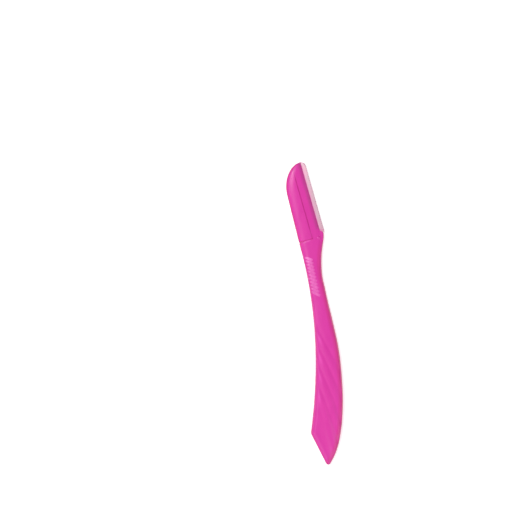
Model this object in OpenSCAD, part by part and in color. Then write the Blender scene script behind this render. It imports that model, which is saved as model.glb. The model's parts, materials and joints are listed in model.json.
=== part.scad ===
// Eyebrow razor: a swept moulded handle whose tongue carries a fixed blade, a moulded cover that slides
// over the tongue from the tip, and a slotted steel guard folded over the cutting edge.
// Y runs along the cutting edge towards the tip, X towards the cutting edge and Z out of the front face.
// The origin lies on the flat back, in the middle of the head's width, where neck and shoulder meet.

/* [Head] */
// Width of the head's moulding, halfway up and without the blade
head_w = 11; // [10:0.1:12.5]
// Length of the round nose at the tip
nose_len = 14; // [11:1:18]
// How much wider the head grows from the nose down to the seam
spine_taper = 0.8; // [0:0.1:2]
// Thickness of the head along the spine
head_t = 3.4; // [3.2:0.1:4.5]
// Thickness of the head at the edge of its front strip
strip_t = 2.4; // [2.2:0.1:3]
// Width of the front strip between the long seam and its outer edge
strip_w = 4.5; // [4:0.1:5]
// Distance from the seam down to the origin, where the shoulder runs into the neck
shoulder_len = 5; // [3:0.5:8]
// How far the shoulder's corner reaches past the front strip
shoulder_reach = 1.75; // [1.5:0.05:2]
// Width of the rounding along the spine, seen from the front
spine_round = 3.3; // [2:0.1:4]
// Width and drop of the rounding along the front strip's outer edge
strip_round = 1.4; // [0.8:0.1:2]
strip_drop = 0.4; // [0.1:0.05:0.6]

/* [Handle] */
// Length of the handle from the shoulder seam to the end of the tail
handle_len = 109.3; // [90:1:130]
// Sideways reach of the bow, from the head's spine to the corner of the tail
sweep = 20.2; // [8:0.2:28]
// Width of the neck where it is narrowest
neck_w = 7.4; // [6:0.1:9]
// Width of the handle where it is widest, at the corner of the tail
handle_w = 16; // [13:0.5:20]
// Thickness of the handle where it is thickest
handle_t = 4.6; // [4:0.1:6]
// Length over which the shoulder narrows into the neck
throat_len = 21; // [14:1:26]
// Length of the slanted tail, from its corner to its point
tail_len = 17.3; // [13:0.5:22]
// How far the tail's point lies in from its corner
tail_in = 4.4; // [3:0.2:7]
// Radius of the tail's point
tail_r = 1.2; // [0.8:0.1:1.6]
// Width of the rounding along the handle's front edges
edge_round = 1.6; // [1:0.1:2.2]
// Radius of the edges round the flat back
back_round = 0.6; // [0.3:0.1:0.9]

/* [Flutes] */
// Depth of the slanting flutes on the front of the handle
flute_depth = 0.3; // [0.1:0.05:0.5]
// Distance between two flutes along the handle
flute_pitch = 9; // [8:0.2:12]
// Distance from the seam down to the first flute's line at the handle's spine side
flute_top = 39.4; // [36:0.2:50]
// How far a flute runs down the handle while it crosses the widest place
flute_run = 34.3; // [24:0.1:44]
// Distance from the handle's spine side in to the start of the flutes
flute_in = 2; // [1.2:0.1:3]
// Number of flutes
flute_count = 5; // [3:1:5]

/* [Cover] */
// Thickness of the cover's back plate under the blade
plate_t = 1.1; // [1:0.1:1.3]
// Thickness of the tongue that the cover slides over
tongue_t = 0.85; // [0.7:0.05:1]
// Thickness of the cover's wall along the spine
spine_wall = 1.4; // [1.1:0.1:2]
// How far the back plate reaches past the front strip along the blade
plate_reach = 1.3; // [0.9:0.05:1.4]
// Width of the chamfers that line the cover's seams
seam_bevel = 0.25; // [0.1:0.05:0.5]
// Depth and length of the soft chamfer that ends the shoulder at the seam
shoulder_drop = 0.25; // [0.1:0.05:0.4]
shoulder_fall = 0.8; // [0.4:0.1:1.5]
// Gap left between pieces that fit together
fit_gap = 0.04; // [0.02:0.01:0.08]
// Height of the low ridge that catches the cover
catch_h = 0.15; // [0.1:0.05:0.25]
// Length of the ridge that catches the cover
catch_len = 3.2; // [2:0.2:3.8]
// Distance from the seam up to the ridge
catch_up = 5; // [3:0.5:12]

/* [Blade] */
// Length of the blade, which sets the length of the head
blade_len = 36; // [28:0.5:42]
// Distance from the shoulder seam up to the blade
blade_up = 1.8; // [1.5:0.1:5]
// Distance from the blade's upper end to the tip
blade_inset = 0.2; // [0.1:0.05:1]
// Gap between the blade's back edge and the tongue
blade_gap = 0.2; // [0.1:0.05:0.6]
// Thickness of the blade strip
blade_t = 0.25; // [0.2:0.05:0.35]
// How far the cutting edge stands out past the front strip
blade_show = 2.15; // [2:0.05:2.4]
// Width of the ground bevels along the cutting edge
bevel_w = 0.75; // [0.4:0.05:1]
// Radius of the blade's corner at the tip
toe_r = 1.7; // [1:0.1:2]
// Radius of the blade's corner at the shoulder
heel_r = 0.5; // [0.3:0.1:0.8]
// Size of the cut corners on the blade's back edge
blade_cut = 2; // [1.8:0.1:2.4]
// Distance from the blade's lower end up to the front strip's outer edge
window_up = 1.5; // [1.2:0.1:2]
// Radius of the two pegs that locate the blade
peg_r = 0.8; // [0.6:0.05:0.95]
// Distance between the two pegs
peg_gap = 20; // [14:1:20]
// How far the pegs reach into the groove of the back plate
peg_reach = 0.35; // [0.2:0.05:0.5]

/* [Guard] */
// Thickness of the guard's folded steel
guard_t = 0.08; // [0.06:0.01:0.12]
// Width of the guard's front leg
guard_leg = 3.1; // [2.6:0.1:3.4]
// Width of the guard's back leg
guard_hem = 0.8; // [0.5:0.05:1]
// Distance between two slots in the guard
slot_pitch = 1; // [0.8:0.1:1.4]
// Width of one slot
slot_w = 0.5; // [0.3:0.05:0.6]
// Depth of the slots from the fold
slot_depth = 0.7; // [0.4:0.05:0.9]
// Distance that the guard stops short of the blade's round corners
guard_short = 0.2; // [0.1:0.1:1]

/* [Cap stop] */
// Radius of the round pip that a cap snaps over
pip_r = 0.9; // [0.6:0.05:1]
// Height of the pip
pip_h = 0.3; // [0.2:0.05:0.4]
// Distance from the front strip's outer edge in to the pip
pip_in = 1.6; // [1.2:0.1:2.5]

/* [Hidden] */

// Overrun of every cut past the face that it opens
over = 1;
// Facets of the true round pegs, holes and corners
round_fn = 48;

// Colours of the moulding and of the two steels
shell_color = [0.87, 0.22, 0.64];
cover_color = [0.89, 0.27, 0.68];
blade_color = [0.72, 0.72, 0.74];
guard_color = [0.85, 0.83, 0.84];

// The head holds the blade from end to end
head_len = blade_up + blade_len + blade_inset;

// Places along the razor
seam_y = shoulder_len;
tip_y = seam_y + head_len;
nose_y = tip_y - nose_len;
mid_y = (nose_y + seam_y) / 2;
tail_y = seam_y - handle_len;
corner_y = tail_y + tail_len;
swell_y = seam_y - throat_len;
bevel_y = seam_y - shoulder_fall;
half_bevel_y = seam_y - shoulder_fall / 2;

// Places across the head
edge_x = head_w / 2;
plate_x = edge_x + plate_reach;
shoulder_x = edge_x + shoulder_reach;
seam_x = edge_x - strip_w;
cut_x = edge_x + blade_show;

// Heights in the head
blade_z = plate_t;
guard_z = blade_z + blade_t;
strip_z = guard_z + guard_t + fit_gap;
tongue_z = plate_t + fit_gap;
lip_z = tongue_z + tongue_t;

// Where the head's front starts to roll down to the blade, as a share of half its width
roll_share = -0.2;
// Height where the front rounding starts, as shares of the thickness of head and handle
head_side_share = 0.42;
handle_side_share = 0.4;
// Width of the head's rounding on the blade side, as a share of the handle's
blade_side_share = 0.5;
// How much lower the crowned front lies at the handle's edges, as a share of its thickness
crown_share = 0.1;
// Greatest rounding as a share of the width, on the front and on the back
front_round_share = 0.48;
back_round_share = 0.3;
// Softness of the shoulder's outer bulge as a share of the throat, and of the tail's corner
bulge_share = 0.08;
corner_share = 0.01;
// Slope of the tail's cutting side at its corner and at its point, as shares of its chord's slope
tail_slope_share = 0.7;
point_slope_share = 1.54;
// Step for slopes, as a share of the tail's length
probe = tail_len * 0.002;

// Growth of the width from neck to tail: [share of the way, share of the growth]
swell_shares = [[0, 0], [0.15, 0.09], [0.3, 0.26], [0.5, 0.535], [0.7, 0.75], [0.85, 0.9], [1, 1]];
// Thickness along the handle: [share of the way from seam to point, share of the thickness]
thick_shares = [[0, 0.76], [0.2, 0.84], [0.5, 1], [0.8, 0.95], [0.92, 0.78], [1, 0.56]];
// Where the row of flutes fades in and out, as shares of their pitch
flute_lead_share = 0.8;
flute_fade_share = 1.3;
flute_stop_share = 0.4;

function mix(a, b, t) = a + (b - a) * t;
function unit(t) = max(0, min(1, t));
function ease(t) = let (c = unit(t)) c * c * (3 - 2 * c);

// Smooth curve through the rows of a table of shares
function slope_at(rows, i) =
    let (a = rows[max(0, i - 1)], b = rows[min(len(rows) - 1, i + 1)])
    (b[1] - a[1]) / (b[0] - a[0]);
function curve(rows, s) =
    let (
        c = unit(s),
        i = max([for (k = [0:len(rows) - 2]) if (c >= rows[k][0]) k]),
        a = rows[i],
        b = rows[i + 1],
        w = b[0] - a[0],
        t = (c - a[0]) / w
    )
    hermite(a[1], b[1], slope_at(rows, i) * w, slope_at(rows, i + 1) * w, t);
function hermite(a, b, ma, mb, t) =
    let (t2 = t * t, t3 = t2 * t)
    (2 * t3 - 3 * t2 + 1) * a + (t3 - 2 * t2 + t) * ma + (3 * t2 - 2 * t3) * b + (t3 - t2) * mb;

// Spine of the head, its bow down the handle, and the nose, a quarter of an ellipse
function spine_x(y) = -head_w / 2 - spine_taper * (mid_y - y) / (nose_y - seam_y);
function bow_x(y) = spine_x(seam_y) - sweep * pow(max(0, seam_y - y) / (seam_y - corner_y), 2);
function nose_x(y) =
    let (c = unit((y - nose_y) / nose_len))
    edge_x - (edge_x - spine_x(y)) * sqrt(1 - c * c);

// The tail's point is a circle, and the slanted side runs from the corner along its tangent
corner_x = bow_x(corner_y);
point_x = corner_x + tail_in;
point_y = tail_y + tail_r;
slant_angle = atan(tail_in / (tail_len - tail_r)) - asin(tail_r / norm([tail_in, tail_len - tail_r]));
function slant_x(y) = corner_x + tan(slant_angle) * (corner_y - y);
function point_half(y) = sqrt(max(0, tail_r * tail_r - (y - point_y) * (y - point_y)));
corner_soft = tail_len * corner_share;
function corner_max(a, b) = (a + b) / 2 + sqrt((a - b) * (a - b) / 4 + corner_soft * corner_soft);
function left_x(y) =
    y > seam_y ? nose_x(y) :
    y < point_y - tail_r * sin(slant_angle) ? point_x - point_half(y) :
    corner_max(bow_x(y), y < corner_y + tail_len ? slant_x(y) : bow_x(y) - tail_len);

// Cutting side: round corner at the tip, straight side, soft bulge of the shoulder, throat, neck and tail
shoulder_w = shoulder_x - spine_x(seam_y);
bulge = throat_len * bulge_share;
function below_seam(y) = (seam_y - y + sqrt((seam_y - y) * (seam_y - y) + bulge * bulge)) / 2;
function body_w(y) =
    neck_w + (shoulder_w - neck_w) * pow(1 - unit(below_seam(y) / throat_len), 2)
    + (handle_w - neck_w) * curve(swell_shares, (swell_y - y) / (swell_y - corner_y));
function flank_x(y) = bow_x(y) + body_w(y);

// Below the corner the side starts nearly straight, then bends into the tangent of the point's circle
point_angle = atan(point_slope_share * (flank_x(corner_y) - point_x) / (corner_y - point_y));
flank_end = [point_x + tail_r * cos(point_angle), point_y - tail_r * sin(point_angle)];
tail_run = corner_y - flank_end[1];
tail_drop = flank_x(corner_y) - flank_end[0];
tail_bend = (tan(point_angle) * tail_run / tail_drop - tail_slope_share) / (1 - tail_slope_share);
function tail_x(y) =
    let (u = (corner_y - y) / tail_run)
    flank_x(corner_y) - tail_drop * mix(pow(u, tail_bend), u, tail_slope_share);
nose_corner_y = tip_y - shoulder_reach;
function right_x(y) =
    y > nose_corner_y ? edge_x + sqrt(max(0, pow(shoulder_reach, 2) - pow(y - nose_corner_y, 2))) :
    y > corner_y ? flank_x(y) :
    y > flank_end[1] ? tail_x(y) :
    point_x + point_half(y);

// Distance in from the outline: first order on the nose, straight across elsewhere
function nose_dist(x, y) =
    let (
        wide = edge_x - spine_x(y),
        u = (edge_x - x) / wide,
        v = max(0, (y - nose_y) / nose_len),
        rho = max(norm([u, v]), fit_gap / wide)
    )
    (1 - rho) * rho / norm([u / wide, v / nose_len]);
function lean(a, b) = sqrt(1 + pow((a - b) / (2 * probe), 2));
function arch(d, r) = d >= r ? 1 : sqrt(max(0, 1 - pow(1 - max(0, d) / r, 2)));

// Flutes: soft hollows between low lobes, slanting down from the spine side to the cutting side
function flute_z(x, y, l, r) =
    let (
        f = (seam_y - flute_top - y - flute_run * (x - bow_x(y)) / handle_w) / flute_pitch,
        across = ease(2 * (x - l) / flute_in - 1) * ease((r - x) / edge_round),
        lead = ease((f + flute_lead_share) / flute_fade_share),
        stop = ease((flute_count - flute_stop_share - f) / flute_fade_share)
    )
    flute_depth * pow(abs(cos(180 * f)), 3) * across * lead * stop;

// Height of the front surface
roll_x = edge_x * roll_share;
function head_top(x) = head_t - (head_t - strip_t) * pow(unit((x - roll_x) / (edge_x - roll_x)), 2);
function strip_edge_z(x, y) =
    strip_drop * (1 - arch(edge_x - x, strip_round)) * ease((y - window_y) / strip_round);
function handle_top(x, y, l, r) =
    let (crown = 1 - crown_share * pow((2 * x - l - r) / (r - l), 2))
    handle_t * curve(thick_shares, (seam_y - y) / handle_len) * crown - flute_z(x, y, l, r);
function neckward(y) = ease((seam_y - y) / throat_len);

// One ring of the razor's outline at a height y, drawn in by inset on every side
front_steps = 28;
back_steps = 3;
function form_ring(y, inset) =
    let (
        l = left_x(y),
        r = right_x(y),
        w = r - l,
        b = neckward(y),
        lean_l = y > seam_y ? 1 : lean(left_x(y + probe), left_x(y - probe)),
        lean_r = lean(right_x(y + probe), right_x(y - probe)),
        round_l = min(mix(spine_round, edge_round, b), w * front_round_share),
        round_r = min(mix(edge_round * blade_side_share, edge_round, b), w * front_round_share),
        side = mix(head_t * head_side_share,
            handle_t * curve(thick_shares, (seam_y - y) / handle_len) * handle_side_share, b),
        rb = min(back_round, w * back_round_share)
    )
    concat(
        [for (i = [0:front_steps])
            let (
                q = (1 - cos(180 * i / front_steps)) / 2,
                x = mix(l, r, q),
                dl = y > seam_y ? nose_dist(x, y) : (x - l) / lean_l,
                dr = (r - x) / lean_r,
                top = mix(head_top(x) - strip_edge_z(x, y), handle_top(x, y, l, r), b),
                z = side + (top - side) * arch(dl, round_l) * arch(dr, round_r)
            )
            [mix(l + inset, r - inset, q), y, z - inset]],
        [for (i = [0:back_steps])
            let (a = 90 * i / back_steps)
            [r - inset - rb * (1 - cos(a)), y, inset + rb * (1 - sin(a))]],
        [for (i = [back_steps:-1:0])
            let (a = 90 * i / back_steps)
            [l + inset + rb * (1 - cos(a)), y, inset + rb * (1 - sin(a))]]
    );

module loft(rings) {
    n = len(rings[0]);
    last = len(rings) - 1;
    polyhedron(
        points = [for (ring = rings) each ring],
        faces = concat(
            [[for (i = [0:n - 1]) i]],
            [for (k = [0:last - 1], i = [0:n - 1])
                let (a = k * n + i, b = k * n + (i + 1) % n)
                each [[a, a + n, b], [b, a + n, b + n]]],
            [[for (i = [n - 1:-1:0]) last * n + i]]
        )
    );
}

// Ring heights: close together at the tail's point, the seam and the nose, even between them
point_ys = [for (a = [12:16:76]) tail_y + tail_r * (1 - cos(a))];
tail_ys = [for (i = [0:11]) mix(point_y, corner_y, i / 12)];
bow_ys = [for (i = [0:79]) mix(corner_y, bevel_y, i / 80)];
shoulder_ys = [bevel_y, half_bevel_y, seam_y];
head_ys = [for (i = [1:9]) mix(seam_y, nose_y, i / 10)];
nose_ys = [for (a = [0:8:88]) nose_y + nose_len * sin(a)];

module razor_form() {
    loft([for (y = concat(point_ys, tail_ys, bow_ys, shoulder_ys, head_ys, nose_ys)) form_ring(y, 0)]);
}

module cover_form() {
    foot_y = seam_y + fit_gap;
    loft(concat(
        [form_ring(foot_y, seam_bevel)],
        [for (y = concat([foot_y + seam_bevel], head_ys, nose_ys)) form_ring(y, 0)]
    ));
}

// The tongue follows the nose, one spine wall and one gap further in
tongue_wide = edge_x - spine_x(nose_y) - spine_wall - fit_gap;
tongue_long = nose_len - spine_wall - fit_gap;

// The tongue under the cover's lip, made larger by grow on every side
module tongue(grow) {
    wide = tongue_wide + grow;
    long = tongue_long + grow;
    end_x = seam_x + over;
    end_angle = acos((edge_x - end_x) / wide);
    translate([0, 0, tongue_z - grow])
        linear_extrude(height = tongue_t + 2 * grow)
            polygon(concat(
                [[end_x, seam_y - over], [edge_x - wide, seam_y - over]],
                [for (i = [0:8])
                    let (a = end_angle * i / 8)
                    [edge_x - wide * cos(a), nose_y + long * sin(a)]]
            ));
}

// Room behind the front strip for the back plate, the blade and the guard
module blade_room() {
    translate([seam_x + fit_gap, seam_y, -over])
        cube([head_w, head_len + over, strip_z + over]);
}

// Low ridge across the tongue that the cover snaps over
module catch_ridge(grow) {
    middle_x = (seam_x + edge_x - tongue_wide) / 2;
    translate([middle_x - catch_len / 2 - grow, seam_y + catch_up, lip_z])
        rotate([0, 90, 0])
            scale([catch_h + grow, catch_h * 2 + grow, 1])
                cylinder(h = catch_len + 2 * grow, r = 1, $fn = round_fn);
}

// Window where the blade shows, from a line at from_x outwards, with a slanted lower end
module window(from_x) {
    end_x = shoulder_x + over;
    translate([0, 0, -over])
        linear_extrude(height = head_t + 2 * over)
            polygon([
                [from_x, window_y + edge_x - from_x],
                [end_x, window_y + edge_x - end_x],
                [end_x, tip_y + over],
                [from_x, tip_y + over]
            ]);
}

// Two places along the blade, one for each peg
module peg_places() {
    for (y = [-peg_gap / 2, peg_gap / 2])
        translate([peg_x, blade_mid_y + y, 0])
            children();
}

blade_top_y = tip_y - blade_inset;
blade_mid_y = blade_top_y - blade_len / 2;
blade_low_y = blade_top_y - blade_len;
blade_back_x = seam_x + fit_gap + blade_gap;
blade_w = cut_x - blade_back_x;
fold_x = cut_x + fit_gap;
outer_x = fold_x + guard_t;
peg_x = (blade_back_x + outer_x - guard_leg) / 2;
peg_low_z = blade_z - peg_reach + fit_gap;
peg_root = (strip_t - strip_z) / 2;
window_y = blade_low_y + window_up;

// Tangent bump with a footprint of pip_r and a height of pip_h
module cap_pip() {
    ball = (pip_r * pip_r + pip_h * pip_h) / (2 * pip_h);
    translate([edge_x - pip_in, seam_y - pip_h, head_top(edge_x - pip_in) + pip_h - ball])
        sphere(r = ball, $fn = round_fn);
}

// Room for the cover, the blade and the guard, down to the chamfered end of the shoulder
module head_room() {
    difference() {
        union() {
            // Cover's wall and lip, left of the long seam
            translate([-head_w, bevel_y, -over])
                cube([head_w + seam_x + fit_gap, shoulder_fall + head_len + over, head_t + 2 * over]);
            // Cover's plate, blade and guard, across the whole head
            translate([-head_w, bevel_y, -over])
                cube([2 * head_w + shoulder_x, shoulder_fall + head_len + over, strip_z + over]);
        }
        // The chamfer starts gently and steepens towards the seam
        loft([
            form_ring(bevel_y, 0),
            form_ring(half_bevel_y, shoulder_drop / 4),
            form_ring(seam_y, shoulder_drop)
        ]);
    }
}

module handle() {
    color(shell_color)
        union() {
            difference() {
                razor_form();
                head_room();
                window(edge_x);
                seam_groove();
            }
            difference() {
                tongue(0);
                blade_room();
            }
            catch_ridge(0);
            peg_places()
                translate([0, 0, peg_low_z])
                    cylinder(h = strip_z - peg_low_z + peg_root, r = peg_r, $fn = round_fn);
            cap_pip();
        }
}

// V groove along the long seam, half in the front strip and half in the cover's lip
module seam_groove() {
    translate([seam_x, seam_y, head_top(seam_x)])
        rotate([0, 45, 0])
            translate([-seam_bevel / 2, 0, -seam_bevel / 2])
                cube([seam_bevel, head_len + over, seam_bevel]);
}

module head_cover() {
    color(cover_color)
        difference() {
            cover_form();
            // Room for the front strip, the blade and the guard
            translate([seam_x - fit_gap, seam_y - over, plate_t])
                cube([2 * head_w, head_len + 2 * over, head_t + over]);
            // Slot for the tongue and its ridge
            tongue(fit_gap);
            catch_ridge(fit_gap);
            // Blind groove for the ends of the pegs, open at the foot
            translate([peg_x - peg_r - fit_gap, seam_y - over, plate_t - peg_reach])
                cube([
                    2 * (peg_r + fit_gap),
                    blade_mid_y + peg_gap / 2 + 2 * peg_r - seam_y + over,
                    peg_reach + over
                ]);
            // The back plate stops short of the guard along the blade
            window(plate_x);
            seam_groove();
        }
}

module blade() {
    color(blade_color)
        difference() {
            intersection() {
                translate([blade_back_x, blade_top_y, blade_z])
                    rotate([90, 0, 0])
                        linear_extrude(height = blade_len)
                            polygon([
                                [0, 0],
                                [blade_w - bevel_w, 0],
                                [blade_w, blade_t / 2],
                                [blade_w - bevel_w, blade_t],
                                [0, blade_t]
                            ]);
                translate([0, 0, blade_z - over])
                    linear_extrude(height = blade_t + 2 * over)
                        blade_outline();
            }
            peg_places()
                translate([0, 0, blade_z - over])
                    cylinder(h = blade_t + 2 * over, r = peg_r + fit_gap, $fn = round_fn);
        }
}

// Blade seen from the front: cut corners on its back, rounded corners at the cutting edge
module blade_outline() {
    polygon([
        [blade_back_x, blade_low_y + blade_cut],
        [blade_back_x + blade_cut, blade_low_y],
        [cut_x - heel_r, blade_low_y],
        [cut_x, blade_low_y + heel_r],
        [cut_x, blade_top_y - toe_r],
        [cut_x - toe_r, blade_top_y],
        [blade_back_x + blade_cut, blade_top_y],
        [blade_back_x, blade_top_y - blade_cut]
    ]);
    translate([cut_x - heel_r, blade_low_y + heel_r])
        circle(r = heel_r, $fn = round_fn);
    translate([cut_x - toe_r, blade_top_y - toe_r])
        circle(r = toe_r, $fn = round_fn);
}

module skin_guard() {
    low = blade_low_y + guard_short + heel_r;
    long = blade_len - 2 * guard_short - heel_r - toe_r;
    slots = floor((long - slot_w) / slot_pitch);
    back_z = blade_z - fit_gap;
    color(guard_color)
        difference() {
            translate([0, low + long, 0])
                rotate([90, 0, 0])
                    linear_extrude(height = long)
                        polygon([
                            [outer_x - guard_leg, guard_z + fit_gap / 2],
                            [fold_x, guard_z + fit_gap / 2],
                            [fold_x, back_z],
                            [outer_x - guard_hem, back_z],
                            [outer_x - guard_hem, back_z - guard_t],
                            [outer_x, back_z - guard_t],
                            [outer_x, guard_z + fit_gap / 2 + guard_t],
                            [outer_x - guard_leg, guard_z + fit_gap / 2 + guard_t]
                        ]);
            for (i = [0:slots - 1])
                translate([
                    outer_x - slot_depth,
                    low + long / 2 + (i - (slots - 1) / 2) * slot_pitch - slot_w / 2,
                    back_z - guard_t - over
                ])
                    cube([slot_depth + over, slot_w, blade_t + 2 * over]);
        }
}

handle();
head_cover();
blade();
skin_guard();
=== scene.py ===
import json
import math

import bpy
import numpy as np
from mathutils import Matrix, Vector

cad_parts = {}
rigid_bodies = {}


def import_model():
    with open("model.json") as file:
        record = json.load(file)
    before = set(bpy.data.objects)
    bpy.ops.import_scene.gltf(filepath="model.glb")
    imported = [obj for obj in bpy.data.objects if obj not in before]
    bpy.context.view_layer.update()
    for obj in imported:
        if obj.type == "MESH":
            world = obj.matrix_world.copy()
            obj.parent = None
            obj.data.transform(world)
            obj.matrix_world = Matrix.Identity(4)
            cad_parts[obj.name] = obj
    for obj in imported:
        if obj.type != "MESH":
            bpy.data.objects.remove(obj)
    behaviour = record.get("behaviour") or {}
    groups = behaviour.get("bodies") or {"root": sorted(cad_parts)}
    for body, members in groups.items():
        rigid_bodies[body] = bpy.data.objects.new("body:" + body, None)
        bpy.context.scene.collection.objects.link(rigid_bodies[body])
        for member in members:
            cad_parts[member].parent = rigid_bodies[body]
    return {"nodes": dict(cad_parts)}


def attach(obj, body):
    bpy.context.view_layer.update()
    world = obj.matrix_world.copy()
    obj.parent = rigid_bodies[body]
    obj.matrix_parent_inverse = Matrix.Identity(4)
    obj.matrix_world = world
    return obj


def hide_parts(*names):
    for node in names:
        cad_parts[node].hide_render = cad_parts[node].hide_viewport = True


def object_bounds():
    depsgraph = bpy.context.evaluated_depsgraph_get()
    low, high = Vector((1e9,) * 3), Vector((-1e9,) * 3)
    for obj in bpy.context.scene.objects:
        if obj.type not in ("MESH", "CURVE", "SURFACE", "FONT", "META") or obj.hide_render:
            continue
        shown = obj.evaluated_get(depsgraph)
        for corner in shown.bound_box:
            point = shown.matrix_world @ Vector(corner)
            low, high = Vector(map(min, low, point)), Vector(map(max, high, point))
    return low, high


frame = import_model()
cad_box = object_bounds()

# Camera
# It looks straight down on the razor from 1.2 m. The razor lies turned in the picture, in the right half
# of it, so the middle of the picture is a point beside the bow of the handle.
scene = bpy.context.scene
# The scene is in metres, and the sizes in this file are in millimetres
MM = 0.001
razor_turn = math.radians(15.9)
camera_at = Vector((-28.1, 4.52, 1200)) * MM
# The picture is picture_w wide at the height scale_z
sensor_w, picture_w, scale_z = 36, 252.2 * MM, 3 * MM

camera = bpy.data.objects.new("Camera", bpy.data.cameras.new("Camera"))
scene.collection.objects.link(camera)
camera.matrix_world = Matrix.Translation(camera_at) @ Matrix.Rotation(-razor_turn, 4, "Z")
camera.data.sensor_width = sensor_w
camera.data.lens = sensor_w * (camera_at.z - scale_z) / picture_w
camera.data.clip_start = 0.01
scene.camera = camera

# Light and table
# A soft box stands to the upper left of the razor, two weaker ones fill in from the lower left and the
# lower right, and pale walls send light back from all round. The table is a sheet of white acrylic with
# a faint light of its own, so that the razor's shadow stays pale.
scene.view_settings.view_transform = "Standard"
light_distance = 1.2
lit_point = Vector((-10, -20, 0)) * MM
table_half = 2


def soft_box(name, turn, height, size, power):
    """A square area light, placed by its turn in the picture and its height, both in degrees."""
    light = bpy.data.lights.new(name, "AREA")
    light.size = size
    light.energy = power
    lamp = bpy.data.objects.new(name, light)
    scene.collection.objects.link(lamp)
    angle, rise = math.radians(turn) - razor_turn, math.radians(height)
    flat = light_distance * math.cos(rise)
    offset = Vector((flat * math.cos(angle), flat * math.sin(angle), light_distance * math.sin(rise)))
    lamp.location = lit_point + offset
    lamp.rotation_euler = (-offset).to_track_quat("-Z", "Y").to_euler()
    lamp.visible_camera = False


soft_box("KeyLight", turn=143, height=58, size=0.45, power=8)
soft_box("LeftFill", turn=225, height=40, size=0.7, power=3)
soft_box("RightFill", turn=315, height=45, size=1, power=5.6)

world = bpy.data.worlds.new("Studio")
world.use_nodes = True
walls = world.node_tree.nodes["Background"]
walls.inputs["Color"].default_value = (1, 1, 1, 1)
walls.inputs["Strength"].default_value = 0.37
scene.world = world

table = bpy.data.objects.new("Table", bpy.data.meshes.new("Table"))
table_corners = [(x * table_half, y * table_half, 0) for x, y in ((-1, -1), (1, -1), (1, 1), (-1, 1))]
table.data.from_pydata(table_corners, [], [(0, 1, 2, 3)])
scene.collection.objects.link(table)
acrylic = bpy.data.materials.new("WhiteAcrylic")
acrylic.use_nodes = True
sheet_shader = acrylic.node_tree.nodes["Principled BSDF"]
sheet_shader.inputs["Base Color"].default_value = (0.95, 0.95, 0.95, 1)
sheet_shader.inputs["Roughness"].default_value = 0.9
sheet_shader.inputs["Emission Color"].default_value = (1, 1, 1, 1)
sheet_shader.inputs["Emission Strength"].default_value = 0.35
table.data.materials.append(acrylic)

# Handle
# One injection moulding in magenta polypropylene with a satin face. It carries the front strip of the
# head, the tongue that the cover slides over, and two pegs that hold the blade. Its outline is a bowed
# spine with a shoulder, a narrow neck and a swelling grip, cut off at a slant to the point of the tail.

# Sizes, as in the CAD model. The head, and what it holds of the blade and the guard
blade_len, blade_up, blade_inset, blade_gap = 36, 1.8, 0.2, 0.2
blade_t, blade_show, guard_t, guard_leg = 0.25, 2.15, 0.08, 3.1
head_w, head_t, nose_len, spine_taper, spine_round = 11, 3.4, 14, 0.8, 3.3
strip_t, strip_w, strip_round, strip_drop, window_up = 2.4, 4.5, 1.4, 0.4, 1.5
shoulder_len, shoulder_reach, shoulder_drop, shoulder_fall = 5, 1.75, 0.25, 0.8
# Fit of the cover, the blade and a cap: back plate, tongue, catch ridge, pegs and pip
plate_t, tongue_t, spine_wall, seam_bevel, fit_gap = 1.1, 0.85, 1.4, 0.25, 0.04
catch_h, catch_len, catch_up = 0.15, 3.2, 5
peg_r, peg_gap, peg_reach, peg_chamfer = 0.8, 20, 0.35, 0.1
pip_r, pip_h, pip_in = 0.9, 0.3, 1.6
# Neck, grip and tail
handle_len, handle_w, handle_t, neck_w, throat_len, sweep = 109.3, 16, 4.6, 7.4, 21, 20.2
tail_len, tail_in, tail_r, edge_round, back_round = 17.3, 4.4, 1.2, 1.6, 0.6
# Flutes, and the small tips at the upper ends of the lobes between them
flute_depth, flute_pitch, flute_top, flute_run, flute_in, flute_count = 0.3, 9, 39.4, 34.3, 2, 5
# They fade in after flute_from and out before flute_to, over flute_fade, all counted in pitches
flute_fade, flute_from, flute_to, flute_sharp = 1.3, -0.8, flute_count - 0.4, 3
tip_in, tip_at, tip_r, tip_long, tip_h = 2.3, 0.46, 0.45, 1.1, 0.1

# Where the forms begin and end, from the tip down, from the middle out and from the back up
head_len = blade_up + blade_len + blade_inset
seam_y = shoulder_len
tip_y = seam_y + head_len
nose_y = tip_y - nose_len
mid_y = (nose_y + seam_y) / 2
tail_y = seam_y - handle_len
corner_y = tail_y + tail_len
swell_y = seam_y - throat_len
edge_x = head_w / 2
shoulder_x = edge_x + shoulder_reach
seam_x = edge_x - strip_w
cut_x = edge_x + blade_show
strip_z = plate_t + blade_t + guard_t + fit_gap
blade_low_y = seam_y + blade_up
window_y = blade_low_y + window_up
slope_step = tail_len * 0.002
# The swell of the grip and the thickness, as shares of their largest, against shares of the length
swell_shares = ((0, 0), (0.15, 0.09), (0.3, 0.26), (0.5, 0.535), (0.7, 0.75), (0.85, 0.9), (1, 1))
thick_shares = ((0, 0.76), (0.2, 0.84), (0.5, 1), (0.8, 0.95), (0.92, 0.78), (1, 0.56))


def unit(t):
    return np.clip(t, 0, 1)


def ease(t):
    c = unit(t)
    return c * c * (3 - 2 * c)


def mix(a, b, t):
    return a + (b - a) * t


def hermite(a, b, ma, mb, t):
    """Between a and b, with the slopes ma and mb there."""
    return (
        (2 * t**3 - 3 * t**2 + 1) * a
        + (t**3 - 2 * t**2 + t) * ma
        + (3 * t**2 - 2 * t**3) * b
        + (t**3 - t**2) * mb
    )


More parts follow.
